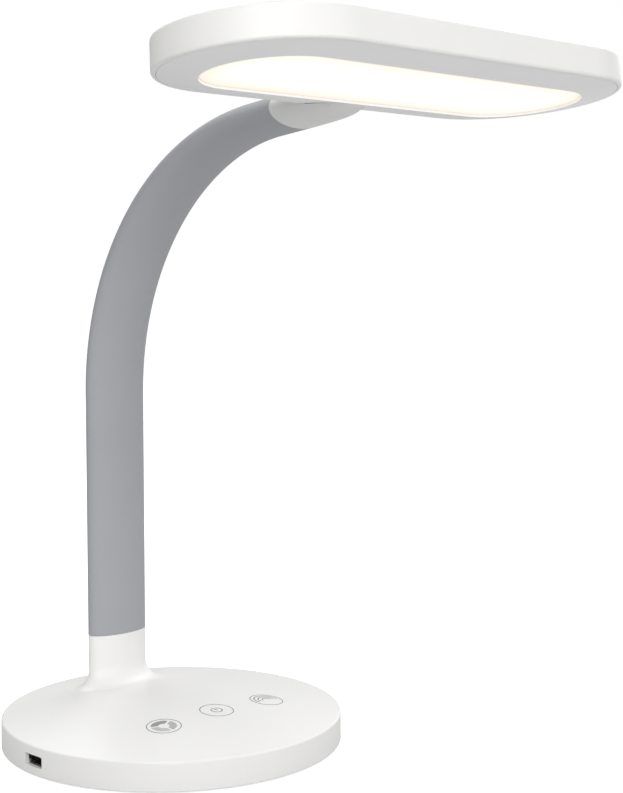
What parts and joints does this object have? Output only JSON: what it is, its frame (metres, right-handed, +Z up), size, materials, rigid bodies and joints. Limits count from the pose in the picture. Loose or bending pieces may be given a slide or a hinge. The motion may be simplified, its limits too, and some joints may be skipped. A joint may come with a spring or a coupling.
{
  "type": "light therapy lamp",
  "caption": "Desk light therapy lamp: round weighted base with touch icons, flexible grey oval neck and a wide pill-shaped white light head facing down.",
  "frame": {"origin": "centre of the foot pad's lower face, on the surface the lamp stands on", "axes": "+Z up, -Y towards the person in front of the lamp, +X towards that person's right; the neck rises behind the centre and the head reaches forward over the base"},
  "size_m": [0.2692, 0.323, 0.3699],
  "materials": {
    "white_plastic": "satin moulded white",
    "white_plate": "fine-grained white",
    "foot_rubber": "soft matte grey pad",
    "ballast_steel": "plain rolled steel",
    "zinc_steel": "zinc plated",
    "board_green": "glass-fibre board, green lacquer",
    "foam_grey": "conductive foam",
    "bright_steel": "bright nickel plate",
    "black_plastic": "black moulded",
    "gold_contact": "gold flash",
    "cable_grey": "soft cable sheath",
    "socket_cream": "cream moulded",
    "core_steel": "coiled spring steel",
    "grey_silicone": "smooth matte grey silicone",
    "spreader_aluminium": "plain sheet",
    "led_board_white": "metal-core board, white lacquer",
    "led_yellow": "yellow light-emitting chips",
    "reflector_white": "white film",
    "opal_diffuser": "opal acrylic, emissive when the lamp is on"
  },
  "bodies": {
    "base": {"base_housing": "white_plastic", "base_bottom_plate": "white_plate", "foot_pad": "foot_rubber", "ballast_plate": "ballast_steel", "base_screws": "zinc_steel", "neck_flange": "zinc_steel", "flange_screws": "zinc_steel", "core_nut_base": "zinc_steel", "control_board": "board_green", "board_standoffs": "zinc_steel", "board_screws": "zinc_steel", "touch_pads": "foam_grey", "usb_shell": "bright_steel", "usb_tongue": "black_plastic", "usb_contacts": "gold_contact", "dc_jack_body": "black_plastic", "dc_jack_pin": "bright_steel", "dc_lead": "cable_grey", "board_components": "black_plastic", "lead_socket_base": "socket_cream", "neck_core_base": "core_steel", "neck_cable_base": "cable_grey", "sleeve_base": "grey_silicone"},
    "neck_link_1": {"neck_core_1": "core_steel", "sleeve_1": "grey_silicone", "neck_cable_1": "cable_grey"},
    "neck_link_2": {"neck_core_2": "core_steel", "sleeve_2": "grey_silicone", "neck_cable_2": "cable_grey"},
    "neck_link_3": {"neck_core_3": "core_steel", "sleeve_3": "grey_silicone", "neck_cable_3": "cable_grey"},
    "neck_link_4": {"neck_core_4": "core_steel", "sleeve_4": "grey_silicone", "neck_cable_4": "cable_grey"},
    "neck_link_5": {"neck_core_5": "core_steel", "sleeve_5": "grey_silicone", "neck_cable_5": "cable_grey"},
    "neck_link_6": {"neck_core_6": "core_steel", "sleeve_6": "grey_silicone", "neck_cable_6": "cable_grey"},
    "neck_link_7": {"neck_core_7": "core_steel", "sleeve_7": "grey_silicone", "neck_cable_7": "cable_grey"},
    "head": {"neck_core_head": "core_steel", "sleeve_head": "grey_silicone", "neck_cable_head": "cable_grey", "head_housing": "white_plastic", "head_bezel": "white_plastic", "head_connector": "white_plastic", "connector_screws": "zinc_steel", "core_nut_head": "zinc_steel", "heat_spreader": "spreader_aluminium", "spreader_screws": "zinc_steel", "led_board": "led_board_white", "led_board_screws": "zinc_steel", "leds": "led_yellow", "reflector": "reflector_white", "diffuser": "opal_diffuser", "led_socket": "socket_cream"}
  },
  "joints": [
    {"name": "neck_lower_1", "type": "hinge", "parent": "base", "child": "neck_link_1", "pos_m": [0, 0.0518, 0.07495], "axis": [1, 0, 0], "range_deg": [-8, 10]},
    {"name": "neck_lower_2", "type": "hinge", "parent": "neck_link_1", "child": "neck_link_2", "pos_m": [0, 0.0518, 0.10295], "axis": [1, 0, 0], "range_deg": [-8, 10]},
    {"name": "neck_side", "type": "hinge", "parent": "neck_link_2", "child": "neck_link_3", "pos_m": [0, 0.0518, 0.13095], "axis": [0, 1, 0], "range_deg": [-12, 12]},
    {"name": "neck_lower_3", "type": "hinge", "parent": "neck_link_3", "child": "neck_link_4", "pos_m": [0, 0.0518, 0.15895], "axis": [1, 0, 0], "range_deg": [-8, 10]},
    {"name": "neck_upper_1", "type": "hinge", "parent": "neck_link_4", "child": "neck_link_5", "pos_m": [0, 0.05156, 0.20095], "axis": [1, 0, 0], "range_deg": [-16, 10]},
    {"name": "neck_upper_2", "type": "hinge", "parent": "neck_link_5", "child": "neck_link_6", "pos_m": [0, 0.0397, 0.2513], "axis": [1, 0, 0], "range_deg": [-16, 10]},
    {"name": "neck_upper_3", "type": "hinge", "parent": "neck_link_6", "child": "neck_link_7", "pos_m": [0, 0.01126, 0.29452], "axis": [1, 0, 0], "range_deg": [-16, 10]},
    {"name": "neck_upper_4", "type": "hinge", "parent": "neck_link_7", "child": "head", "pos_m": [0, -0.03028, 0.32536], "axis": [1, 0, 0], "range_deg": [-16, 10]}
  ],
  "couplings": [
    {"joint": "neck_lower_2", "follows": "neck_lower_1", "ratio": 1},
    {"joint": "neck_lower_3", "follows": "neck_lower_1", "ratio": 1},
    {"joint": "neck_upper_2", "follows": "neck_upper_1", "ratio": 1},
    {"joint": "neck_upper_3", "follows": "neck_upper_1", "ratio": 1},
    {"joint": "neck_upper_4", "follows": "neck_upper_1", "ratio": 1}
  ]
}
